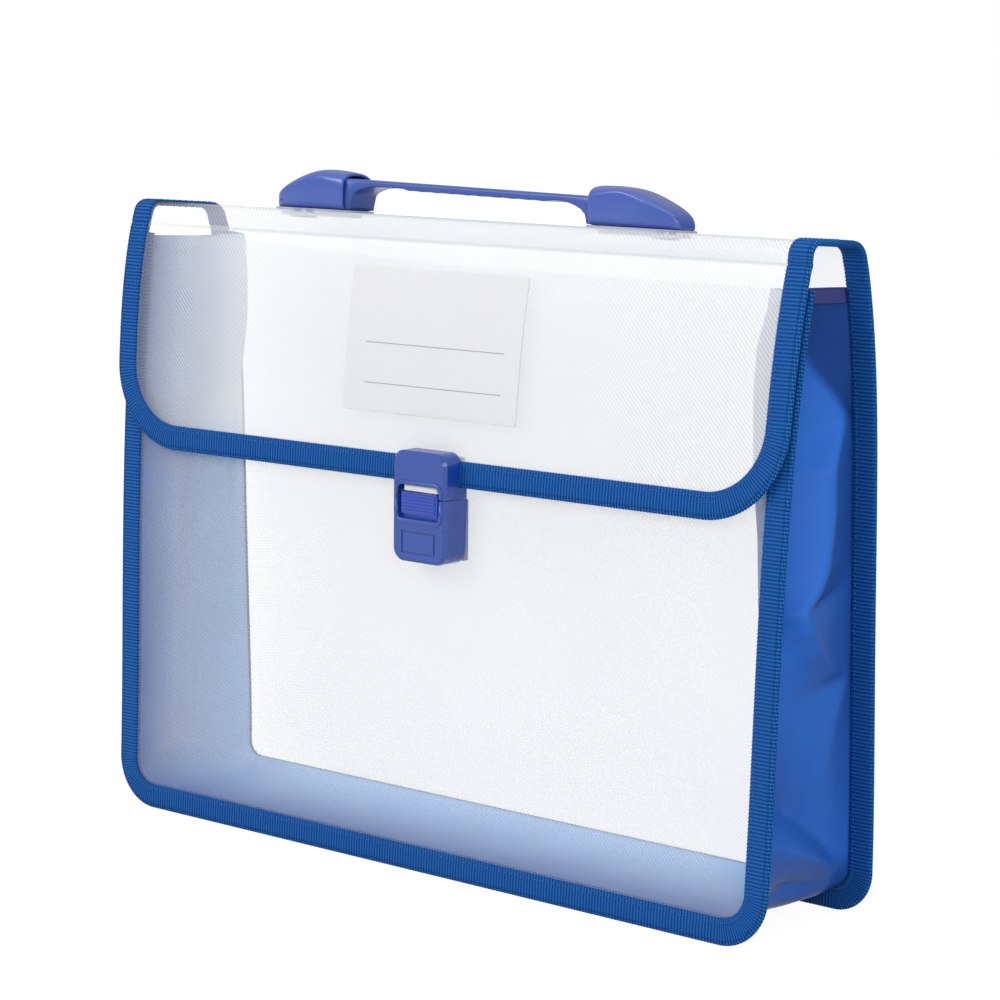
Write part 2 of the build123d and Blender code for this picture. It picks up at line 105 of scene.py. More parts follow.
# %% Curves of the sheets, in millimetres
MM = 0.001
HALF = 165.0  # half the width over the tapes
STATION = 170.0  # where the two end curves stand
MID = 2.65  # depth of the case's own middle in the frame
SHEET = 0.8  # thickness
CREASE = 239.8  # height of the rear bend and of the front crease
FLAP_FOOT = 150.0
FRONT_HEAD = 231.0


def through(points):
    """The depth of a sheet's outer face as a smooth function of height."""
    depth, height = np.array(points, float).T
    return np.polynomial.Polynomial.fit(height, depth, len(points) - 1)


front_left = through([(-33.35, -2), (-30.75, 100), (-28.55, 165), (-21.55, 236)])
front_right = through([(-33.35, -2), (-27.75, 100), (-23.15, 165), (-11.35, 236)])
flap_left = through([(-33.75, 145), (-31.75, 186), (-29.85, 211), (-24.35, 241)])
flap_right = through([(-29.35, 145), (-25.15, 182), (-20.75, 212), (-14.15, 241)])
back_curve = through([(33.35, -2), (31.55, 100), (29.55, 165), (26.15, 208), (19.55, 241)])
lean = float(front_right(FRONT_HEAD) - front_right(0))
print("front sheet leans back", round(lean, 1), "mm at its right end")

# %% [markdown]
# The top band is three straight runs with two rounded shoulders. The arc between two runs is found
# from the angle between them, as a Bevel on a vertex would do it.

# %% The top band's section
DECK_HEIGHT = 247.3
DECK_FALL = math.tan(math.radians(4.0))


def unit(vectors):
    return vectors / np.linalg.norm(vectors, axis=-1, keepdims=True)


def rounded(corners, radii, steps=14):
    """The corners of a bent line with its inner corners replaced by arcs."""
    corners = [np.array(c, float) for c in corners]
    line = [corners[0]]
    for before, corner, after, radius in zip(corners, corners[1:], corners[2:], radii):
        a, b = unit(before - corner), unit(after - corner)
        half_angle = math.acos(float(a @ b)) / 2
        centre = corner + unit(a + b) * radius / math.sin(half_angle)
        start = corner + a * radius / math.tan(half_angle) - centre
        end = corner + b * radius / math.tan(half_angle) - centre
        turn = math.pi - 2 * half_angle
        for k in range(steps + 1):
            w = k / steps
            spoke = (math.sin((1 - w) * turn) * start + math.sin(w * turn) * end) / math.sin(turn)
            line.append(centre + spoke)
    line.append(corners[-1])
    return np.array(line)


def band_section(shoulder, foot):
    """The top band's outer line at one end, from the rear bend to the front crease."""
    corners = [
        (19.65, CREASE),
        (17.75, DECK_HEIGHT - DECK_FALL * 17.75),
        (shoulder, DECK_HEIGHT - DECK_FALL * shoulder),
        (foot, CREASE),
    ]
    return rounded(corners, (7.5, 5.5))


band_left = band_section(-21.75, -24.65)
band_right = band_section(-13.15, -14.45)


def lengths(line):
    return np.concatenate([[0], np.cumsum(np.linalg.norm(np.diff(line, axis=0), axis=1))])


band_s = (lengths(band_left) + lengths(band_right)) / 2
print("top band is", round(float(band_s[-1]), 1), "mm from bend to crease")

# %% [markdown]
# ## A surface to build on
# A sheet is now a flat cut and the way it is bent: x runs along the case, and s up the back, over
# the band and down the flap. `case_surface` turns (x, s) into a point and the direction that faces
# outwards there. The tape, the label and the stitches use it too, so they lie on the sheet.

# %% From flat (x, s) to the bent sheet
back_z = np.linspace(0, CREASE, 90)
flap_z = np.linspace(CREASE, FLAP_FOOT - 2, 50)
path_s = np.concatenate([
    back_z[:-1], CREASE + band_s, CREASE + band_s[-1] + (CREASE - flap_z[1:]),
])


def end_line(band, flap):
    """A table of (s, y, z) at one end: up the back, over the band and down the flap."""
    back_line = np.stack([back_curve(back_z), back_z], 1)
    line = np.concatenate([back_line[:-1], band, np.stack([flap(flap_z), flap_z], 1)[1:]])
    return np.column_stack([path_s, line])


path_left, path_right = end_line(band_left, flap_left), end_line(band_right, flap_right)
S_FRONT_CREASE = CREASE + float(band_s[-1])
S_FLAP_FOOT = S_FRONT_CREASE + CREASE - FLAP_FOOT
S_MIDDLE = CREASE + float(band_s[-1]) / 2


def looked_up(at, table):
    """The other columns of a table, read at places along its first one."""
    return [np.interp(at, table[:, 0], column) for column in table[:, 1:].T]


def slide(x, left, right):
    share = (x + STATION) / (2 * STATION)
    return (1 - share) * left + share * right


def case_line(x, s):
    y, z = (slide(x, *ends) for ends in zip(looked_up(s, path_left), looked_up(s, path_right)))
    return y + MID, z


def bent(line, x, s, turned):
    """Points on a bent sheet and its outward directions, for arrays x and s."""
    y, z = line(x, s)
    y0, z0 = line(x, s - 0.4)
    y1, z1 = line(x, s + 0.4)
    normal = np.stack([np.zeros_like(y), (z1 - z0) * turned, (y0 - y1) * turned], 1)
    return np.stack([x, y, z], 1), unit(normal)


GROOVE_DEEP, GROOVE_WIDE = 0.35, 0.8  # the groove along the front crease


def case_surface(x, s):
    points, normal = bent(case_line, x, s, 1)
    groove = GROOVE_DEEP * np.exp(-(((s - S_FRONT_CREASE) / GROOVE_WIDE) ** 2))
    return points - normal * groove[:, None], normal


HEAD_RISE = 5.0
RISE_FROM, RISE_OVER, RISE_REACH = 170, 60, 110  # its lowest height, its span and its reach


def head_rise(x, height):
    """How much higher the front sheet and the film stand near their left top corner."""
    upper = np.clip((height - RISE_FROM) / RISE_OVER, 0, 1) ** 2
    return HEAD_RISE * upper * np.clip(-x / RISE_REACH, 0, 1)


def front_surface(x, s):
    def front_line(x, s):
        return MID + slide(x, front_left(s), front_right(s)), s + head_rise(x, s)

    return bent(front_line, x, s, -1)


point, normal = case_surface(np.array([0.0]), np.array([S_MIDDLE]))
print("middle of the band:", point.round(1), "faces", normal.round(2))

# %% [markdown]
# ## A helper for finishes
# A finish is a small network of nodes that ends in a Principled shader. The helper adds a node and
# joins it up in one line, so each finish reads like a recipe. Colours are written as they look on
# a screen, and turned into the linear light values that Blender calculates with.

# %% Nodes and finishes


def tint(red, green, blue):
    """A screen colour, 0 to 255, as linear light with full cover."""
    screen = [c / 255 for c in (red, green, blue)]
    light = [c / 12.92 if c <= 0.04045 else ((c + 0.055) / 1.055) ** 2.4 for c in screen]
    return (*light, 1.0)


class Nodes:
    """A node tree in the making. An input takes a number, a colour or another node's output."""

    def __init__(self, tree):
        self.tree = tree

    def set(self, node, inputs):
        for key, value in inputs.items():
            socket = node.inputs[key]
            if isinstance(value, bpy.types.NodeSocket):
                self.tree.links.new(value, socket)
            else:
                socket.default_value = value

    def node(self, kind, inputs=(), out=0, **settings):
        made = self.tree.nodes.new("ShaderNode" + kind)
        for key, value in settings.items():
            setattr(made, key, value)
        self.set(made, dict(inputs))
        return made.outputs[out]

    def maths(self, operation, *values, clamp=False):
        return self.node("Math", enumerate(values), operation=operation, use_clamp=clamp)

    def times(self, *values, **options):
        return self.maths("MULTIPLY", *values, **options)

    def minus(self, a, b):
        return self.maths("SUBTRACT", a, b)

    def scaled(self, *values, **options):
        """The first value times the second, plus the third."""
        return self.maths("MULTIPLY_ADD", *values, **options)


class Finish(Nodes):
    """A material in the making, with the patterns that the finishes share."""

    def __init__(self, name, **sockets):
        self.material = bpy.data.materials.new(name)
        self.material.use_nodes = True
        super().__init__(self.material.node_tree)
        self.shader = self.tree.nodes["Principled BSDF"]
        self.set(self.shader, {key.replace("_", " "): value for key, value in sockets.items()})

    def mix(self, share, *colours):
        """A colour between two, each a screen colour or another node's output."""
        a, b = (tint(*c) if isinstance(c, tuple) else c for c in colours)
        return self.node("Mix", {"Factor": share, 6: a, 7: b}, out=2, data_type="RGBA")

    def noise(self, vector, scale, detail=2.0):
        return self.node("TexNoise", {"Vector": vector, "Scale": scale, "Detail": detail})

    def wave(self, along, pitch):
        """0 to 1 and back once every pitch metres."""
        turns = self.times(along, 2 * math.pi / pitch)
        return self.scaled(self.maths("COSINE", turns), 0.5, 0.5)

    def ramp(self, end, value, width):
        """1 up to a width before the end, falling to 0 at the end."""
        return self.maths("DIVIDE", self.minus(end, value), width, clamp=True)

    def window(self, value, middle, reach, edge):
        """1 within reach of the middle, falling to 0 over the edge's width."""
        away = self.maths("ABSOLUTE", self.minus(value, middle))
        return self.ramp(reach + edge, away, edge)

    def mottle(self, scale, detail, dark, light):
        """A base colour that drifts over the piece, and the place it is read from."""
        place = self.node("TexCoord", out=3)
        tone = self.mix(self.noise(place, scale, detail), dark, light)
        self.set(self.shader, {"Base Color": tone})
        return place

    def flat_map(self):
        """The flat places kept in the UV map, then their two directions."""
        flat = self.node("UVMap", uv_map="flat")
        first = self.node("SeparateXYZ", {"Vector": flat})
        return flat, first, first.node.outputs[1]

    def relief(self, height, distance, strength):
        bump = self.node("Bump", {"Height": height, "Distance": distance, "Strength": strength})
        self.set(self.shader, {"Normal": bump})


print("a mid blue in linear light:", [round(c, 3) for c in tint(40, 90, 180)])

# %% [markdown]
# ## Frosted ribbed sheet
# The sheet is polypropylene with fine slanting ribs pressed into its outer face. The blue pieces
# behind it show as fine stripes, because a rib covers more than the groove beside it. Real
# transmission would need many light bounces, so the cover is an alpha: a third or more on the
# outer face, hardly anything on the inner one, and less where the film touches the sheet. The ribs
# show most in the border that has film behind it. Along the front crease a darker grey line with
# more cover is painted shade in the groove, and the band is painted a little greyer than the flap,
# as shade. The ribs follow the UV map, which holds the flat sheet in metres, so they bend with the
# sheet.

# %% Finish of the sheets
RIB_PITCH = 0.0013
FILM_SIDE, FILM_LOW = 0.1555, 0.0095  # where the film is sewn on: from the middle, and up
RIBS_FADE, RIBS_FAINT = 0.05, 0.08  # past these distances from there the ribs fade, and are faint
BAND_HALF, CREASE_SHADE_HALF = 0.0225, 0.0004  # half the band's run, and half the crease line that is painted darker as shade


def sheet_finish(name, slant, face_cover, contrast, tone, band=False):
    finish = Finish(name, Roughness=0.4, Specular_IOR_Level=0.3)
    flat, across, up = finish.flat_map()
    slanted = finish.scaled(up, slant, across)
    rib = finish.wave(slanted, RIB_PITCH * math.sqrt(2))
    cloud = finish.noise(flat, 14.0, 3.0)

    # The ribs show in patches, and most of all near the film.
    from_side = finish.minus(FILM_SIDE, finish.maths("ABSOLUTE", across))
    gap = finish.maths("MINIMUM", from_side, finish.minus(up, FILM_LOW))
    patch = finish.scaled(finish.noise(flat, 30.0, 2.0), 1.6, -0.1, clamp=True)
    near_film = finish.ramp(RIBS_FAINT, gap, RIBS_FAINT - RIBS_FADE)
    patch = finish.times(patch, finish.scaled(near_film, 0.75, 0.25))
    ribbed = finish.times(finish.minus(rib, 0.5), contrast)
    ribbed = finish.times(ribbed, patch)

    # The cover, least where the film touches the sheet and full at a reach from there.
    cover = finish.scaled(cloud, 0.06, face_cover - 0.03)
    cover = finish.maths("ADD", ribbed, cover)
    if band:
        from_film, reach, least = finish.maths("ADD", across, FILM_SIDE), 0.055, 0.25
    else:
        from_film, reach, least = gap, 0.022, 0.4
    edge = finish.maths("DIVIDE", from_film, reach, clamp=True)
    cover = finish.times(cover, finish.scaled(edge, 1 - least, least))

    colour = finish.mix(cloud, (tone - 4, tone - 1, tone + 2), (tone, tone + 1, tone + 2))
    # Painted shade: the band a little greyer than the flap, and a darker line along the front
    # crease.
    if band:
        painted_band_shade = finish.window(up, S_MIDDLE * MM, BAND_HALF, 0.0015)
        colour = finish.mix(painted_band_shade, colour, (236, 239, 242))
        # Painted shade along the front crease, with a little more cover.
        folded = finish.window(up, S_FRONT_CREASE * MM, CREASE_SHADE_HALF, 0.0007)
        colour = finish.mix(finish.times(folded, 0.7), colour, (190, 195, 200))
        cover = finish.maths("ADD", cover, finish.times(folded, 0.3))
    finish.set(finish.shader, {"Alpha": cover, "Base Color": colour})
    finish.relief(rib, 0.00002, 0.25)
    return finish.material


case_sheet = sheet_finish("case_sheet", -1.0, 0.44, 0.22, 254, band=True)
back_sheet = sheet_finish("back_sheet", -1.0, 0.3, 0.05, 250, band=True)
front_sheet = sheet_finish("front_sheet", 1.0, 0.3, 0.15, 236)
inner_face = sheet_finish("sheet_inner_face", -1.0, 0.04, 0.0, 248)
print("rib pitch in mm:", RIB_PITCH / MM)

# %% [markdown]
# ## Woven tape
# The edges are bound with a grosgrain tape: cross ribs with dark gaps, and a tight selvage at the
# fold, where each rib ends in a bright dot, which is a painted highlight. Its UV map runs along the
# tape (u) and round it (v), so the ribs turn the corners with it. `window` picks out the selvage,
# and the dark line beside it, which is painted shade in a groove.

# %% Finish of the tape
TAPE_PITCH = 0.00135
FOLD_V = 0.01075  # how far round the section the fold lies

tape = Finish("woven_tape", Roughness=0.7, Specular_IOR_Level=0.12)
flat, along, round_it = tape.flat_map()
waver = tape.noise(flat, 420.0)
rib = tape.wave(tape.scaled(waver, 0.0003, along), TAPE_PITCH)
thread = tape.wave(round_it, 0.0009)
blotch = tape.noise(flat, 300.0, 3.0)
shade = tape.mix(rib, (8, 44, 102), (36, 110, 188))
shade = tape.mix(tape.times(thread, 0.3), shade, (6, 58, 124))
shade = tape.mix(tape.times(blotch, 0.4), shade, (14, 82, 158))
# Painted highlight: a bright dot where each rib ends at the selvage.
rib_end_highlights = tape.times(tape.wave(tape.maths("ADD", along, round_it), 0.0011), rib)
selvage_with_highlights = tape.mix(rib_end_highlights, (4, 50, 118), (46, 146, 228))
shade = tape.mix(tape.window(round_it, FOLD_V, 0.0014, 0.0004), shade, selvage_with_highlights)
# Painted shade: a dark line in the groove beside the selvage.
groove_shade_line = tape.times(tape.window(round_it, FOLD_V - 0.002, 0.0001, 0.0004), 0.8)
shade = tape.mix(tape.times(groove_shade_line, blotch), shade, (2, 26, 70))
tape.set(tape.shader, {"Base Color": shade})
tape.relief(tape.times(rib, thread), 0.0001, 0.7)
woven_tape = tape.material

twist = Finish("sewing_thread", Base_Color=tint(28, 86, 164), Roughness=0.6)
twist.relief(twist.noise(twist.node("TexCoord", out=3), 2500.0), 0.0001, 0.7)
sewing_thread = twist.material
print("tape rib pitch in mm:", TAPE_PITCH / MM)

# %% [markdown]
# ## Film
# The gusset is a thin glossy film, slightly translucent. Its light and dark facets are painted
# shade: a facet that turns away from a fixed light direction is painted much deeper in colour, and
# the film above a slanting fold is painted darker still, as shadow. How far each point turns to
# that direction is kept in the mesh as the attribute "facing" when the film is folded, further
# down.

# %% Finish of the film
film = Finish("gusset_film", Roughness=0.34, Specular_IOR_Level=0.08)
place = film.node("TexCoord", out=3)
# Painted shade: the film's blue goes from deep to light with "facing", worked out from its folds.
facing = film.node("Attribute", out=2, attribute_name="facing")
facing = film.minus(facing, 0.08)
painted_lit_share = film.scaled(film.noise(place, 22.0, 3.0), 0.16, facing, clamp=True)
film.set(film.shader, {"Base Color": film.mix(painted_lit_share, (26, 56, 122), (58, 124, 226))})
film.relief(film.noise(place, 130.0, 4.0), 0.0004, 0.25)
gusset_film = film.material

hem = Finish("film_hem", Roughness=0.4, Specular_IOR_Level=0.4)
place = hem.mottle(40.0, 3.0, (40, 48, 112), (54, 62, 138))
hem.relief(hem.noise(place, 260.0, 3.0), 0.0004, 0.4)
film_hem = hem.material
print("film and hem:", gusset_film.name, film_hem.name)

# %% [markdown]
# The film's inner side is only seen through a frosted sheet, which hides more of what lies further
# behind it. So the inner side has a tone of its own that pales from the front edge (v = 0) to the
# back edge, and fades to white behind the flap, where two sheets are in front of it.

# %% Finish of the film's inner side
FILM_LENGTH = 0.773  # along the film's U
FLAP_REACH = 0.085  # how much of each end the flap covers

inner = Finish("film_inside", Roughness=0.5, Specular_IOR_Level=0.2)
flat, along, depth = inner.flat_map()
pale = inner.maths("DIVIDE", depth, 0.06)
pale = inner.scaled(inner.noise(flat, 30.0, 3.0), 0.3, pale)
pale = inner.times(pale, 0.85, clamp=True)
tone = inner.mix(pale, (12, 76, 158), (154, 198, 246))
end = inner.maths("MINIMUM", along, inner.minus(FILM_LENGTH, along))
upper = inner.ramp(FLAP_REACH, end, 0.02)
rear = inner.scaled(depth, 1 / 0.022, -1.2, clamp=True)
on_left = inner.maths("LESS_THAN", along, FILM_LENGTH / 2)
fade = inner.scaled(on_left, inner.minus(rear, 0.6), 0.6)
fade = inner.times(upper, inner.times(fade, 0.9))
tone = inner.mix(fade, tone, (226, 234, 244))
inner.set(inner.shader, {"Base Color": tone})
film_inside = inner.material
print("film's length along its U in mm:", FILM_LENGTH / MM)

# %% [markdown]
# ## Moulding, card and clear pads
# The clasp and the handle are glossy moulded plastic, the label is a matt card, and the pads under
# the handle are clear and soft. `mottle` lets each tone drift a little over the piece.

# %% Finish of the mouldings, the card and the pads


def moulded(name, dark, light, roughness):
    """Glossy plastic with the faint waviness that a moulded wall has."""
    finish = Finish(name, Specular_IOR_Level=0.55, Coat_Weight=0.3, Coat_Roughness=0.08)
    place = finish.mottle(55.0, 2.0, dark, light)
    worn = finish.scaled(finish.noise(place, 400.0, 4.0), 0.12, roughness)
    finish.set(finish.shader, {"Roughness": worn})
    finish.relief(finish.noise(place, 160.0), 0.0002, 0.12)
    return finish.material


clasp_plastic = moulded("clasp_plastic", (20, 62, 150), (28, 72, 162), 0.2)
hood_plastic = moulded("hood_plastic", (52, 80, 164), (62, 92, 180), 0.18)
strap_plastic = moulded("strap_plastic", (34, 66, 150), (46, 82, 170), 0.32)
pale_nylon = moulded("pale_nylon", (214, 218, 226), (232, 235, 240), 0.35)
pin_plastic = moulded("pin_plastic", (40, 52, 130), (56, 70, 156), 0.35)
button_plastic = moulded("button_plastic", (10, 58, 170), (22, 70, 186), 0.25)

card = Finish("label_card_stock", Roughness=0.62, Specular_IOR_Level=0.3)
place = card.mottle(30.0, 4.0, (219, 219, 219), (226, 226, 226))
card.relief(card.noise(place, 1500.0, 3.0), 0.00005, 0.5)
card_stock = card.material

ink = Finish("label_lines", Roughness=0.6)
ink.mottle(900.0, 2.0, (148, 149, 152), (176, 177, 180))
label_ink = ink.material

clear = Finish("clear_pad", Roughness=0.3, Alpha=0.7, Specular_IOR_Level=0.4)
place = clear.mottle(80.0, 2.0, (150, 158, 190), (196, 204, 224))
clear.relief(clear.noise(place, 300.0), 0.00005, 0.2)
clear_pad = clear.material
print("finishes:", [m.name for m in bpy.data.materials if m.use_nodes])

# %% [markdown]
# ## Making a piece from a flat cut
# Each sheet starts as a flat grid, as the real one starts as a flat cut. Its corners are rounded
# with cuts along the tangents of the arc (Bisect), the flat shape is kept as a UV map, and then
# every point is moved to its place on the bent surface.

# %% Helpers for flat cuts


def add_object(name, mesh, *materials):
    """A finished mesh as an object at the origin, smooth, with its materials."""
    for material in materials:
        mesh.materials.append(material)
    piece = bpy.data.objects.new(name, mesh)
    scene.collection.objects.link(piece)
    mesh.shade_smooth()
    return piece


def thicken(piece, thick, offset):
    """Solidify, with the second material on the new face."""
    wall = piece.modifiers.new("thickness", "SOLIDIFY")
    wall.thickness, wall.offset, wall.material_offset = thick * MM, offset, 1


def new_mesh(name, bm):
    mesh = bpy.data.meshes.new(name)
    bm.to_mesh(mesh)
    bm.free()
    return mesh


def points_of(mesh, kind="co"):
    """The places of a mesh's points, or their normals."""
    flat_list = np.empty(3 * len(mesh.vertices))
    mesh.vertices.foreach_get(kind, flat_list)
    return flat_list.reshape(-1, 3)


def move_points(mesh, points):
    mesh.vertices.foreach_set("co", (points * MM).ravel())
    mesh.update()


def keep_flat(mesh, across, up):
    """The flat places of the points, in millimetres, kept as the UV map in metres."""
    corner = np.empty(len(mesh.loops), int)
    mesh.loops.foreach_get("vertex_index", corner)
    layer = mesh.uv_layers.new(name="flat")
    layer.data.foreach_set("uv", (np.stack([across, up], 1)[corner] * MM).ravel())


def face_outwards(mesh, directions):
    """Turns an open sheet over if its faces look away from the given outward directions."""
    if float((points_of(mesh, "normal") * directions).sum()) < 0:
        mesh.flip_normals()


def grid_mesh(name, columns, rows):
    """A flat grid, and the column and the row that each of its points is in."""
    bm = bmesh.new()
    bmesh.ops.create_grid(bm, x_segments=columns, y_segments=rows, size=0.5)
    mesh = new_mesh(name, bm)
    column, row = np.rint((points_of(mesh)[:, :2] + 0.5) * (columns, rows)).astype(int).T
    return mesh, column, row


def loft(rings, places=None):
    """A closed skin over rings of points, capped at both ends. places picks the shared flat map."""
    rows = rings.shape[1]
    mesh, column, row = grid_mesh("loft", len(rings) - 1, rows)
    if places is not None:
        keep_flat(mesh, places[0][column], places[1][row])
    move_points(mesh, rings[column, row % rows])
    bm = bmesh.new()
    bm.from_mesh(mesh)
    bmesh.ops.remove_doubles(bm, verts=bm.verts, dist=1e-6)
    bmesh.ops.holes_fill(bm, edges=[e for e in bm.edges if e.is_boundary], sides=0)
    bmesh.ops.recalc_face_normals(bm, faces=bm.faces)
    bpy.data.meshes.remove(mesh)
    return bm


def closed_mesh(name, bm):
    """The mesh of a closed bmesh, with a count of the edges that are still open."""
    open_edges = sum(not e.is_manifold for e in bm.edges)
    print(name, "has", len(bm.faces), "faces and", open_edges, "open edges")
    return new_mesh(name, bm)


def flat_cut(width, low, high, corners, cell):
    """A flat grid from low to high with the given (height, radius, up or down) ends rounded."""
    bm = bmesh.new()
    bmesh.ops.create_grid(
        bm, x_segments=round(width / cell), y_segments=round((high - low) / cell), size=0.5
    )
    bmesh.ops.scale(bm, verts=bm.verts, vec=(width, high - low, 1))
    bmesh.ops.translate(bm, verts=bm.verts, vec=(0, (high + low) / 2, 0))
    for end, radius, way in corners:
        for side in (-1, 1):
            for k in range(1, 12):
                angle = math.radians(90 * k / 12)
                out = Vector((side * math.cos(angle), way * math.sin(angle), 0))
                middle = Vector((side * (width / 2 - radius), end - way * radius, 0))
                everything = bm.verts[:] + bm.edges[:] + bm.faces[:]
                bmesh.ops.bisect_plane(
                    bm, geom=everything, plane_co=middle + radius * out, plane_no=out,
                    clear_outer=True,
                )
    return bm


def sheet_piece(name, bm, surface, material, inner, thick=SHEET, lift=0.0):
    """Bends a flat cut onto a surface and gives it its thickness on the inner side."""
    mesh = new_mesh(name, bm)
    across, up, _ = points_of(mesh).T
    keep_flat(mesh, across, up)
    points, outward = surface(across, up)
    move_points(mesh, points + lift * outward)
    face_outwards(mesh, outward)
    piece = add_object(name, mesh, material, inner)
    thicken(piece, thick, -1)
    print(name, "has", len(mesh.polygons), "faces before its thickness")
    return piece


# %% [markdown]
# ## The three sheets
# The front panel is a sheet of its own.

# %% Back, band, flap and front
FRONT_CORNER, BACK_CORNER, FLAP_CORNER = 20.0, 16.0, 34.0
TAPE_THICK = 0.8
SHEET_WIDTH = 2 * (HALF - TAPE_THICK)

low_end = (TAPE_THICK, BACK_CORNER - TAPE_THICK, -1)
cut = flat_cut(SHEET_WIDTH, TAPE_THICK, S_MIDDLE, [low_end], 2.4)
back_and_top = sheet_piece("back_and_top", cut, case_surface, back_sheet, inner_face)
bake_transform(back_and_top)
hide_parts("back_panel")

flap_end = S_FLAP_FOOT - TAPE_THICK
high_end = (flap_end, FLAP_CORNER - TAPE_THICK, 1)
cut = flat_cut(SHEET_WIDTH, S_MIDDLE, flap_end, [high_end], 1.6)
top_and_flap = sheet_piece("top_and_flap", cut, case_surface, case_sheet, inner_face)
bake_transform(top_and_flap)
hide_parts("top_panel", "flap_panel")

low_end = (TAPE_THICK, FRONT_CORNER - TAPE_THICK, -1)
cut = flat_cut(SHEET_WIDTH, TAPE_THICK, FRONT_HEAD, [low_end], 4.0)
front_piece = sheet_piece("front_sheet", cut, front_surface, front_sheet, inner_face)
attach(front_piece, "front")
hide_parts("front_panel")

# %% [markdown]
# ## The binding tape
# The tape is folded over the sheet's edge and sewn. Its section is a closed loop round that edge,
# as (in from the edge, out from the sheet's face), and is carried along the outline: down one side,
# round the foot and up the other. The section of a bevelled curve wouldn't turn with the bent
# sheet, so the tape is a grid, with a row for each place round the section and a column for each
# place along the edge. The cross ribs are real: the section swells and sinks by a tenth of a mm.

# %% The tape's section and its path
TAPE_SECTION = np.array([
    (9.8, 0.02), (9.75, 0.55), (9.4, 0.75), (7.9, 0.8), (4.8, 0.85), (1.6, 0.8), (0.6, 0.55),
    (0.1, -0.1), (0.0, -0.4), (0.1, -0.7), (0.6, -1.35), (1.6, -1.6), (4.8, -1.65), (7.9, -1.6),
    (9.4, -1.55), (9.75, -1.35), (9.8, -0.82), (0.9, -0.82), (0.9, 0.02),
])
TAPE_SWELL = np.array([
    (1.5, 0), (1.8, 0.5), (1.0, 1), (0, 1), (0, 1), (0, 1), (-0.5, 0.8),
    (-1, 0.2), (-1, 0), (-1, -0.2), (-0.5, -0.8), (0, -1), (0, -1), (0, -1),
    (1.0, -1), (1.8, -0.5), (1.5, 0), (0, 0), (0, 0),
])
RIB_SWELL = 0.08
RIB_EVERY = TAPE_PITCH / MM
STITCH_PITCH = 2.9
STITCH_SHAPE = (0.95, 0.24, 0.2)  # half its length, width and height
STITCH_IN = 8.1  # the seam's place, in from the folded edge
STITCH_LIFTS = (0.86, -1.66)  # on the outer and on the inner side of the tape


def edge_path(reach, radius, steps):
    """Places along the U of an edge, (x, height), their inward directions and their distances."""
    side = reach - radius
    arc = math.pi / 2 * radius
    foot = 2 * (HALF - radius)
    t = np.linspace(0, 2 * side + 2 * arc + foot, steps)
    first = np.clip((t - side) / radius, 0, math.pi / 2)
    second = np.clip((t - side - arc - foot) / radius, 0, math.pi / 2)
    turn = first + second
    inward = np.stack([np.cos(turn), np.sin(turn)], 1)
    run = np.clip(t - side - arc, 0, foot)
    drop = np.clip(t, 0, side)
    climb = np.clip(t - side - 2 * arc - foot, 0, None)
    middle = np.stack([-HALF + radius + run, np.full_like(t, radius)], 1)
    place = middle - radius * inward
    place[:, 1] += side - drop + climb
    return place, inward, t


def stitches(bm, surface, to_surface, reach, radius, lift):
    """A row of short threads along an edge, each a stretched ball sunk half into the tape."""
    ball = bmesh.new()
    bmesh.ops.create_uvsphere(ball, u_segments=6, v_segments=4, radius=1.0)
    bmesh.ops.scale(ball, verts=ball.verts, vec=STITCH_SHAPE)
    ball = new_mesh("stitch", ball)
    shape = points_of(ball)
    length = edge_path(reach, radius, 2)[2][-1]
    count = int(length / STITCH_PITCH)
    place, inward, _ = edge_path(reach, radius, 2 * count + 1)
    flat_place = place + inward * STITCH_IN
    points, outward = surface(flat_place[:, 0], to_surface(flat_place[:, 1]))
    points = points + outward * lift
    for k in range(1, 2 * count, 2):
        lengthwise = unit(points[k + 1] - points[k - 1])
        sideways = unit(np.cross(outward[k], lengthwise))
        frame_of_it = np.stack([lengthwise, sideways, np.cross(lengthwise, sideways)])
        move_points(ball, points[k] + shape @ frame_of_it)
        bm.from_mesh(ball)
    bpy.data.meshes.remove(ball)


def tape_piece(name, surface, to_surface, reach, radius):
    """A tape round an edge: to_surface turns the height over the foot into the surface's s."""
    length = edge_path(reach, radius, 2)[2][-1]
    columns = round(length / RIB_EVERY * 4)
    place, inward, t = edge_path(reach, radius, columns + 1)
    swell = RIB_SWELL * np.cos(2 * math.pi * t / RIB_EVERY)
    section = TAPE_SECTION + TAPE_SWELL * swell[:, None, None]
    flat_place = place[:, None] + inward[:, None] * section[:, :, :1]
    points, outward = surface(flat_place[..., 0].ravel(), to_surface(flat_place[..., 1].ravel()))
    rings = points + outward * section[..., 1].reshape(-1, 1)
    around = lengths(np.vstack([TAPE_SECTION, TAPE_SECTION[:1]]))
    bm = loft(rings.reshape(*section.shape[:2], 3), (t, around))
    tape_faces = len(bm.faces)
    for lift in STITCH_LIFTS:
        stitches(bm, surface, to_surface, reach, radius, lift)
    bm.faces.ensure_lookup_table()
    for face in bm.faces[tape_faces:]:
        face.material_index = 1
    return add_object(name, closed_mesh(name, bm), woven_tape, sewing_thread)


# %% [markdown]
# Two tapes meet in the middle of the top band, as the two halves of the long sheet do. Each is laid
# on the same surface as its sheet, so tape and sheet follow every fold together.

# %% Tape of the back, the flap and the front
back_tape = tape_piece("back_tape", case_surface, lambda h: h, S_MIDDLE, BACK_CORNER)
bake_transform(back_tape)
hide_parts("back_binding")

flap_tape = tape_piece(
    "flap_tape", case_surface, lambda h: S_FLAP_FOOT - h, S_FLAP_FOOT - S_MIDDLE, FLAP_CORNER
)
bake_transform(flap_tape)
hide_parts("flap_binding", "top_binding_left", "top_binding_right")

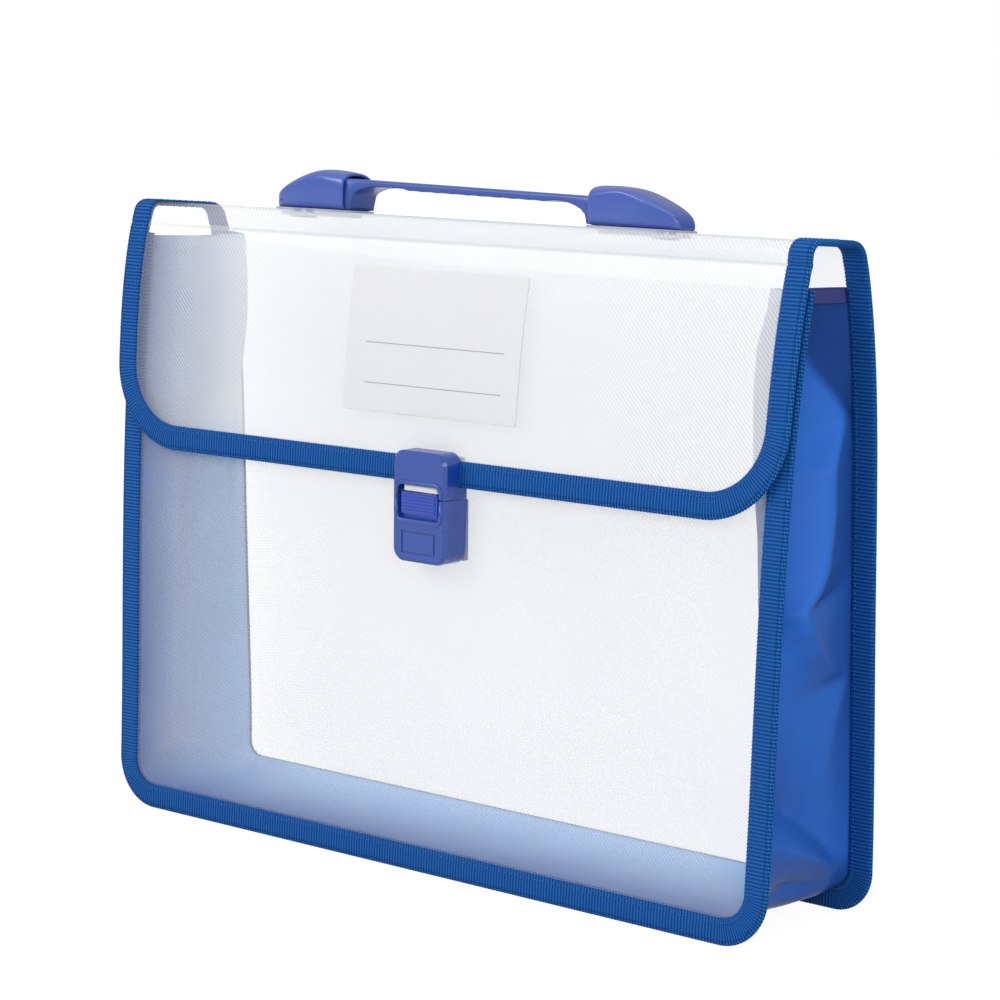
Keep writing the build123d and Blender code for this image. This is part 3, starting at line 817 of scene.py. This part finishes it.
front_tape = tape_piece("front_tape", front_surface, lambda h: h, FRONT_HEAD, FRONT_CORNER)
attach(front_tape, "front")
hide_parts("front_binding")

# %% [markdown]
# ## The gusset film
# A strip of blue film joins the front tape to the back tape, up both sides and along the foot. At
# the sides it folds inwards, as a bellows does, and it is slack enough to show flat facets and
# creases. A cloth simulation would give soft waves, but this film creases, so two tables say where
# its folds lie and `side_fold` draws straight lines between them.

# %% The film's path and folds
FILM_INSET = 9.7
FILM_HEAD = 230.0
FILM_THICK, HEM_THICK, HEM_DEEP = 0.4, 1.2, 6.0
FILM_EDGE = 1.2  # how far behind the sheet's outer face the film is sewn in
FILM_WIDE = 60  # its flat width for the UV map
FILM_STEPS, HEM_STEPS, FILM_ROWS = 420, 1521, 44

# A side's fold lines: where the valley and the ridge lie, as shares of the depth, and how far in.
FOLD_LINES = np.array([
    # height, valley share, valley in, ridge share, ridge in
    (30, 0.30, 0.0, 0.62, 0.0),
    (50, 0.30, 1.5, 0.70, -0.5),
    (70, 0.28, 3.5, 0.82, -1.0),
    (84, 0.27, 4.5, 0.95, -1.0),
    (88, 0.27, 5.0, 0.80, -2.0),
    (99, 0.27, 6.5, 0.58, -4.0),
    (110, 0.27, 8.5, 0.44, -5.0),
    (118, 0.26, 10.5, 0.37, -4.0),
    (122, 0.26, 11.5, 0.46, -5.5),
    (129, 0.27, 12.5, 0.54, -6.5),
    (146, 0.27, 14.0, 0.60, -6.5),
    (165, 0.27, 17.0, 0.63, -5.0),
    (178, 0.27, 18.5, 0.85, -1.0),
    (196, 0.27, 20.0, 0.78, 6.0),
    (212, 0.27, 20.0, 0.62, 11.0),
    (230, 0.27, 16.0, 0.55, 5.0),
])

# The lower corner's three slanting creases and its turn, by share of the depth.
CORNER_CREASES = np.array([
    # share, then the height of each crease and how far in it lies, from the top one down
    (0.00, 66, 0.0, 58, 0.0, 42, 0.0, 14, 0.0),
    (0.20, 60, 2.0, 53, 3.0, 37, -1.5, 14, 2.0),
    (0.45, 50, 3.5, 44, 4.5, 29, -2.5, 12, 5.0),
    (0.62, 40, 3.5, 36, 4.0, 24, -2.5, 10, 5.0),
    (0.82, 27, 1.5, 24, 1.5, 18, -1.5, 9, 2.0),
    (1.00, 22, 0.0, 20, 0.0, 14, 0.0, 8, 0.0),
])


def corner_fold(height, share):
    """How far in the lower corner's creases take the film."""
    h1, in1, h2, in2, h3, in3, h4, in4 = looked_up(share, CORNER_CREASES)
    depth = in1 * np.clip(1 - (height - h1) / 24, 0, 1)
    for high, in_high, low, in_low in ((h1, in1, h2, in2), (h2, in2, h3, in3), (h3, in3, h4, in4)):
        between = in_low + (in_high - in_low) * (height - low) / (high - low)
        depth = np.where(height < high, between, depth)
    return np.where(height < h4, in4 * np.clip(height / h4, 0, 1), depth)


FOLD_SLOPE = 14  # how much higher the folds lie at the back than at the front
FOLD_BLUR = (-0.03, -0.015, 0.0, 0.015, 0.03)  # rounds the folds off a little
SEWN_SHARE = 0.04  # the share beside each edge in which the film is held straight


def side_fold(height, share, side):
    """How far the film of one side lies in from its edge, at a height and a share of the depth.

    The left side has softer folds that lie lower, and bulges inwards as one wide fold.
    """
    height = height - FOLD_SLOPE * (share - 0.5) * np.clip(height / 60, 0, 1)
    height = height if side > 0 else height * 0.9 + 20
    valley, valley_in, ridge, ridge_in = looked_up(height, FOLD_LINES)
    soft = 0.0
    for shift in FOLD_BLUR:
        s = np.clip(share + shift, 0, 1)
        front = valley_in * s / valley
        middle = valley_in + (ridge_in - valley_in) * (s - valley) / (ridge - valley)
        rear = ridge_in * (1 - s) / (1 - ridge)
        fold = np.where(s < valley, front, np.where(s < ridge, middle, rear))
        soft = soft + fold / len(FOLD_BLUR)
    if side > 0:
        soft = soft + 1.5 * corner_fold(height, share)
    else:
        bulge = np.minimum(share / 0.8, (1 - share) / 0.2)
        soft = 0.5 * soft + (3 + 13 * np.clip((height - 75) / 150, 0, 1)) * bulge
    return soft * np.clip(np.minimum(share, 1 - share) / SEWN_SHARE, 0, 1)


# The fixed light direction and the fold heights from which the film's painted shade is worked out.
PAINTED_LIGHT_DIRECTION = np.array([0.45, -0.75, 0.48])
SHADE_FRONT, SHADE_BACK = 234, 174  # heights of the slanting fold above which the film is painted darker, as shade


def film_painted_shade(mesh, height, share):
    """Painted shade: how much each point turns to a fixed light direction, and less above the upper
    slanting fold.
    """
    turned = points_of(mesh, "normal") @ PAINTED_LIGHT_DIRECTION
    fold_height = SHADE_FRONT - (SHADE_FRONT - SHADE_BACK) * (share - 0.25) / 0.75
    painted_fold_shade = np.clip((height - fold_height) / 7, 0, 1)
    facing = np.clip(0.16 + 0.9 * turned, 0.05, 1) * (1 - 0.8 * painted_fold_shade)
    mesh.attributes.new("facing", "FLOAT", "POINT").data.foreach_set("value", facing)


def film_point(place, inward, share):
    """A point of the film: its places on the front and the back U, and a share of the way back."""
    side = np.where(place[:, 0] > 0, 1, -1)
    place = place[:, :2] * (1 - share)[:, None] + place[:, 2:] * share[:, None]
    upright = np.abs(inward[:, 0])
    fold = np.where(side > 0, side_fold(place[:, 1], share, 1), side_fold(place[:, 1], share, -1))
    sag = (1.0 + 4.5 * share) * np.sin(math.pi * np.clip(share, 0, 1)) ** 0.6 * (1 - upright)
    moved = place + inward * (fold * upright - sag)[:, None]
    moved[:, 1] += head_rise(place[:, 0], place[:, 1])
    front, front_out = front_surface(place[:, 0], place[:, 1])
    back, back_out = case_surface(place[:, 0], place[:, 1])
    front = front - FILM_EDGE * front_out
    back = back - FILM_EDGE * back_out
    y = (1 - share) * front[:, 1] + share * back[:, 1]
    return np.stack([moved[:, 0], y, moved[:, 1]], 1)


def film_path(steps):
    """The film's U at the front and at the back: the edges' paths, moved in past the tape."""
    place, inward, t = edge_path(FILM_HEAD, FRONT_CORNER, steps)
    back_place, back_inward, _ = edge_path(FILM_HEAD, BACK_CORNER, steps)
    both = np.hstack([place + inward * FILM_INSET, back_place + back_inward * FILM_INSET])
    return both, inward, t


def film_grid(name, path, material, thick, offset, share_span=(0, 1)):
    """A strip of film along a path, its area, and the painted shade of its facets against a fixed
    light direction.
    """
    place, inward, t = path
    mesh, column, row = grid_mesh(name, len(t) - 1, FILM_ROWS)
    share = share_span[0] + row / FILM_ROWS * (share_span[1] - share_span[0])
    points = film_point(place[column], inward[column], share)
    keep_flat(mesh, t[column], share * FILM_WIDE)
    move_points(mesh, points)
    outward = np.zeros_like(points)
    outward[:, 0], outward[:, 2] = -inward[column][:, 0], -inward[column][:, 1]
    face_outwards(mesh, outward)
    # Painted shade for the film's colour, kept as the attribute "facing".
    film_painted_shade(mesh, points[:, 2], share)
    piece = add_object(name, mesh, material, film_inside)
    thicken(piece, thick, offset)
    area = sum(p.area for p in mesh.polygons)
    print(name, "has", len(mesh.polygons), "faces and", round(area * 1e4), "square cm")
    return piece, area


film_piece, film_area = film_grid(
    "gusset_film", film_path(FILM_STEPS), gusset_film, FILM_THICK, -1
)
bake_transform(film_piece)
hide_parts("gusset")

# %% [markdown]
# The film's top edge is turned down and stitched. This hem is a second strip over the film's first
# six millimetres, thicker and darker. It follows the same folds.

# %% The film's hem
for side, name in ((-1, "film_hem_left"), (1, "film_hem_right")):
    place, inward, t = film_path(HEM_STEPS)
    kept = (place[:, 0] * side > 0) & (place[:, 1] > FILM_HEAD - HEM_DEEP)
    path = place[kept], inward[kept], t[kept]
    hem_piece, _ = film_grid(name, path, film_hem, HEM_THICK, 0, (0.02, 0.98))
    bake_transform(hem_piece)

# %% [markdown]
# ## The label card
# A plain off-white card with two thin lines lies on the flap. It is a flat cut like the sheets,
# and the lines are two strips of ink a hair above it. A Weighted Normal modifier keeps the shading
# flat up to the rim, where smooth shading would puff it up.

# %% Label
LABEL_X, LABEL_WIDE, LABEL_LOW, LABEL_TALL = 2.0, 85.5, 174.8, 54.4


def on_flap(x, height):
    return case_surface(x, S_FRONT_CREASE + CREASE - height)


def flap_strip(name, middle, width, low, high, corner, material, thick, lift, cell=2.0):
    bm = flat_cut(width, low, high, [(low, corner, -1), (high, corner, 1)], cell)
    bmesh.ops.translate(bm, verts=bm.verts, vec=(middle, 0, 0))
    piece = sheet_piece(name, bm, on_flap, material, material, thick, lift)
    piece.modifiers.new("crisp rim", "WEIGHTED_NORMAL")
    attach(piece, "flap")
    return piece


label = flap_strip(
    "label_card_face", LABEL_X, LABEL_WIDE, LABEL_LOW, LABEL_LOW + LABEL_TALL, 1.5, card_stock,
    0.12, 0.16,
)
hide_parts("label_card")
for number, (height, left, right) in enumerate([(200.9, -32.8, 35.0), (185.6, -32.8, 34.7)], 1):
    flap_strip(
        f"label_line_{number}", LABEL_X + (left + right) / 2, right - left, height - 0.16,
        height + 0.16, 0.1, label_ink, 0.04, 0.2, 0.4,
    )

# %% [markdown]
# ## Hoods
# The handle's ends sit in two hoods with round mouths and sloping backs. Each hood is a row of
# arched rings, from the blind end of the mouth's hollow out to its rim and on to the tip, and a
# Subdivision Surface rounds the skin. The left hood looks rounder: `tilt` raises its back towards
# the tip, and `dome` raises its crown and lowers its shoulders.

# %% Hoods
HOOD_MOUTH = 61.4  # how far from the middle
PAD_THICK = 0.8
ARCH_POWER = 0.77  # under 1 the arch is fuller than a circle's
HOOD_RINGS = np.array([
    # from the mouth, half width, side height, crown height, floor
    (11.0, 7.2, 7.4, 12.4, 0.9),
    (10.8, 7.7, 7.8, 12.9, 0.6),
    (0.6, 7.9, 8.2, 13.4, 0.6),
    (0.0, 8.2, 8.5, 13.8, 0.3),
    (0.0, 8.9, 9.0, 14.5, 0.0),
    (0.6, 9.2, 9.3, 14.9, 0.0),
    (5.0, 9.3, 10.4, 15.0, 0.0),
    (12.0, 9.3, 12.2, 14.9, 0.0),
    (17.0, 9.3, 11.9, 14.2, 0.0),
    (21.5, 9.2, 10.6, 12.9, 0.0),
    (27.0, 8.8, 8.6, 10.9, 0.0),
    (32.5, 7.9, 6.4, 8.5, 0.0),
    (36.0, 6.7, 4.8, 6.5, 0.0),
    (38.2, 5.4, 3.4, 4.8, 0.0),
    (39.4, 4.2, 1.8, 2.8, 0.0),
    (39.7, 3.6, 0.5, 0.8, 0.0),
])


def deck(x, depth, height):
    """A point over the top band: depth from the case's middle, height over the band's pads."""
    top = DECK_HEIGHT - DECK_FALL * depth + PAD_THICK
    return np.stack(np.broadcast_arrays(x, depth + MID, height + top), -1)


def hood(name, side, tilt, dome):
    angle = np.radians([0, 14, 34, 60, 90])
    out, up = np.cos(angle) ** ARCH_POWER, np.sin(angle) ** ARCH_POWER
    rings = []
    for along_hood, half, shoulder, crown, sole in HOOD_RINGS:
        bulge = dome * max(math.sin(math.pi * min(along_hood / 38, 1)), 0) * (sole == 0)
        crown, shoulder = crown + bulge, shoulder - 1.8 * bulge
        arch = shoulder + (crown - shoulder) * up + along_hood * math.tan(math.radians(tilt))
        across = np.concatenate([[-half * 0.5, -half, -half], -half * out])
        height = np.concatenate([[sole, sole, (shoulder + sole) / 2], arch])
        across = np.concatenate([[0.0], across, -across[-2::-1]])
        height = np.concatenate([[sole], height, height[-2::-1]])
        x = side * (HOOD_MOUTH + along_hood)
        rings.append(deck(x, across, height))
    piece = add_object(name, closed_mesh(name, loft(np.array(rings))), hood_plastic)
    smooth = piece.modifiers.new("smooth", "SUBSURF")
    smooth.levels = smooth.render_levels = 2
    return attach(piece, "top_band")


left_hood = hood("left_hood", -1, 1.8, 0.9)
right_hood = hood("right_hood", 1, 0.0, 0.0)
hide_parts("hood_left")
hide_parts("hood_right")

# %% [markdown]
# ## Hand strap
# The strap is a flat bar with a foot at each end that stands in a hood's mouth, made as a row of
# rounded box rings along x. Its underside curves down into the feet and carries shallow grip ribs
# in the middle. It lies a little higher at the left than at the right.

# %% Strap
UNDERSIDE = np.array([
    # from the middle, height
    (44, 9.0), (48, 8.8), (51, 8.3), (54, 7.4), (56.5, 6.3), (58.3, 4.6), (59.2, 1.4), (59.3, 0.3),
])
STRAP_TOP, STRAP_HALF = 11.45, 7.0
STRAP_LEAN = 0.0155  # falls by this share of x, towards the right
GRIP_MIDDLE, GRIP_HALF, GRIP_EVERY = 5.5, 37.5, 7.5
stations = np.concatenate([
    np.arange(0, 44, 0.75), np.linspace(44, 59.2, 24), [59.3, 66.0, 71.0, 72.5, 73.0],
])
stations = np.concatenate([-stations[:0:-1], stations])
strap_rings = []
for x in stations:
    (low,) = looked_up(abs(x), UNDERSIDE)
    grip = np.clip((GRIP_HALF - abs(x - GRIP_MIDDLE)) / 3, 0, 1)
    low = low - grip * (0.35 + 0.3 * abs(math.cos(math.pi * x / GRIP_EVERY)))
    high = STRAP_TOP - STRAP_LEAN * x - (2.0 if abs(x) > 72 else 0)
    low = low - STRAP_LEAN * x * (abs(x) < 58.5)
    side = STRAP_HALF - (1.0 if abs(x) > 72.8 else 0)
    strap_rings.append(deck(x, side * np.array([
        0, 0.86, 0.96, 1, 1, 0.95, 0.82, 0, -0.82, -0.95, -1, -1, -0.96, -0.86,
    ]), np.array([
        low, low, low + 0.15, low + 0.5, high - 0.9, high - 0.3, high, high + 0.1,
        high, high - 0.3, high - 0.9, low + 0.5, low + 0.15, low,
    ])))
strap = add_object("strap", closed_mesh("strap", loft(np.array(strap_rings))), strap_plastic)
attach(strap, "handle")
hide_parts("handle_strap")

# %% [markdown]
# ## Details of the clasp
# The window round the push button has a raised, rounded rim. It crosses the seam between the
# clasp's halves, so each half has its own piece. Above the button a small pale bar is painted
# light: it stands in for the pale sheet that shows through a slot, and there is no opening.

# %% Window rim and painted light bar
CLASP_X, CLASP_FACE = 7.0, MID - 39.45
RIM_X = 11.2  # from the clasp's middle to the rim's sides
RIM_WIDE, RIM_HIGH = 0.95, 0.75  # half the bead's width, and its height
LIGHT_BAR_SIZE, LIGHT_BAR_HEIGHT = (16.5, 0.4, 2.2), 149.0


def rim(name, seam, level, radius, body):
    """A round bead on the clasp's face, from the seam up or down to a level and back."""
    corners = [(-RIM_X, seam), (-RIM_X, level), (RIM_X, level), (RIM_X, seam)]
    line = rounded(corners, (radius, radius), 8)
    along_line = unit(np.gradient(line, axis=0))
    turn = np.linspace(0, 2 * math.pi, 10, endpoint=False)
    across = np.stack([-along_line[:, 1], along_line[:, 0]], 1)
    rings = np.empty((len(line), len(turn), 3))
    for k, angle in enumerate(turn):
        rings[:, k, ::2] = line + RIM_WIDE * math.cos(angle) * across + (CLASP_X, 0)
        rings[:, k, 1] = CLASP_FACE + 0.1 + RIM_HIGH * math.sin(angle)
    piece = add_object(name, closed_mesh(name, loft(rings)), clasp_plastic)
    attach(piece, body)


rim("window_rim_upper", 146.1, 151.1, 3.2, "flap")
rim("window_rim_lower", 145.5, 136.6, 2.6, "front")

# Painted light: a pale card bar where light shows through the slot above the button.
bm = bmesh.new()
bmesh.ops.create_cube(bm, size=1.0)
bmesh.ops.scale(bm, verts=bm.verts, vec=Vector(LIGHT_BAR_SIZE) * MM)
bmesh.ops.bevel(
    bm, geom=bm.edges[:], offset=0.15 * MM, segments=2, profile=0.5, affect="EDGES", material=-1
)
light_bar_place = Vector((CLASP_X + 0.6, CLASP_FACE + 0.9, LIGHT_BAR_HEIGHT)) * MM
bmesh.ops.translate(bm, verts=bm.verts, vec=light_bar_place)
painted_light_piece = add_object("painted_light_bar", closed_mesh("painted_light_bar", bm), card_stock)
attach(painted_light_piece, "flap")

# %% [markdown]
# ## Pieces that keep their CAD shape
# The mouldings are exact solids already, so they only need their finishes.

# %% Finishes of the CAD pieces
CAD_FINISHES = {
    clear_pad: ("hood_pad_left", "hood_pad_right"),
    pale_nylon: ("hood_backing_left", "hood_backing_right", "hood_rivets"),
    pin_plastic: (
        "clasp_upper_back", "clasp_upper_pins", "clasp_lower_back", "clasp_lower_pins",
    ),
    clasp_plastic: ("clasp_upper", "clasp_lower"),
    button_plastic: ("clasp_button",),
}
for material, names in CAD_FINISHES.items():
    for name in names:
        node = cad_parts[name]
        node.data.materials.clear()
        node.data.materials.append(material)
print("CAD pieces with a finish:", sum(len(names) for names in CAD_FINISHES.values()))

# %% [markdown]
# ## Floor and light
# The case stands on a pale floor under soft light from the front left. The world is white where
# the camera looks at it, and dimmer as a light, so white pieces keep their tone.

# %% Floor
FLOOR_HALF = 6.0
GLOW_SHARE, GLOW_STRENGTH = 0.8, 1.19

bm = bmesh.new()
bmesh.ops.create_grid(bm, x_segments=1, y_segments=1, size=FLOOR_HALF)
pale = Finish("pale_floor", Base_Color=tint(206, 208, 212), Roughness=0.9, Specular_IOR_Level=0.0)
ray = pale.node("LightPath").node.outputs
seen = pale.maths("MAXIMUM", ray["Is Camera Ray"], ray["Is Glossy Ray"])
seen = pale.maths("MAXIMUM", seen, ray["Is Transmission Ray"])
glow = pale.times(seen, GLOW_SHARE)
white = pale.node("Emission", {"Color": (1, 1, 1, 1), "Strength": GLOW_STRENGTH})
mixed = pale.node("MixShader", {0: glow, 1: pale.shader.outputs[0], 2: white})
pale.set(pale.tree.nodes["Material Output"], {"Surface": mixed})
floor = add_object("floor", new_mesh("floor", bm), pale.material)
floor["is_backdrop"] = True
print("floor is", 2 * FLOOR_HALF, "m wide")

# %% [markdown]
# As a light, the world is brighter towards the upper front, like a studio with one big window:
# that gives the mouldings' edges their light and dark sides, and the film's facets theirs together
# with the painted shade in the film's colour.

# %% World and lamps
WINDOW = Vector((-0.12, -0.62, 0.78)).normalized()
LIGHT_SWING, LIGHT_MEAN = 0.34, 0.50
AIM = Vector((0, 0, 0.12))

world = bpy.data.worlds.new("studio")
world.use_nodes = True
scene.world = world
studio = Nodes(world.node_tree)
ray = studio.node("LightPath").node.outputs
seen = studio.maths("MAXIMUM", ray["Is Camera Ray"], ray["Is Transmission Ray"])
towards = studio.node("TexCoord")
facing = studio.node("VectorMath", {0: towards, 1: WINDOW}, out=1, operation="DOT_PRODUCT")
light = studio.scaled(facing, LIGHT_SWING, LIGHT_MEAN)
dimmed = studio.minus(1.0, seen)
level = studio.scaled(light, dimmed, seen)
studio.set(studio.tree.nodes["Background"], {"Color": (1, 1, 1, 1), "Strength": level})


def lamp(name, place, size, watts):
    """A square soft box that faces the case."""
    data = bpy.data.lights.new(name, "AREA")
    data.size = size
    data.energy = watts
    box = bpy.data.objects.new(name, data)
    box.matrix_world = Matrix.Translation(place) @ (
        (AIM - Vector(place)).to_track_quat("-Z", "Y").to_matrix().to_4x4()
    )
    scene.collection.objects.link(box)


lamp("key", (-0.9, -1.5, 1.3), 1.0, 14)
lamp("side", (1.3, -1.2, 0.7), 0.8, 7)
lamp("top", (0.3, 0.2, 1.9), 1.2, 5)
scene.view_settings.view_transform = "Standard"

# %% Print the sizes and finish
seen_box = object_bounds()
sizes = {
    "cad": [[float(v) for v in corner] for corner in cad_box],
    "visual": [[float(v) for v in corner] for corner in seen_box],
}
for name, box in sizes.items():
    print(name, [[round(v * 1000, 1) for v in corner] for corner in box])
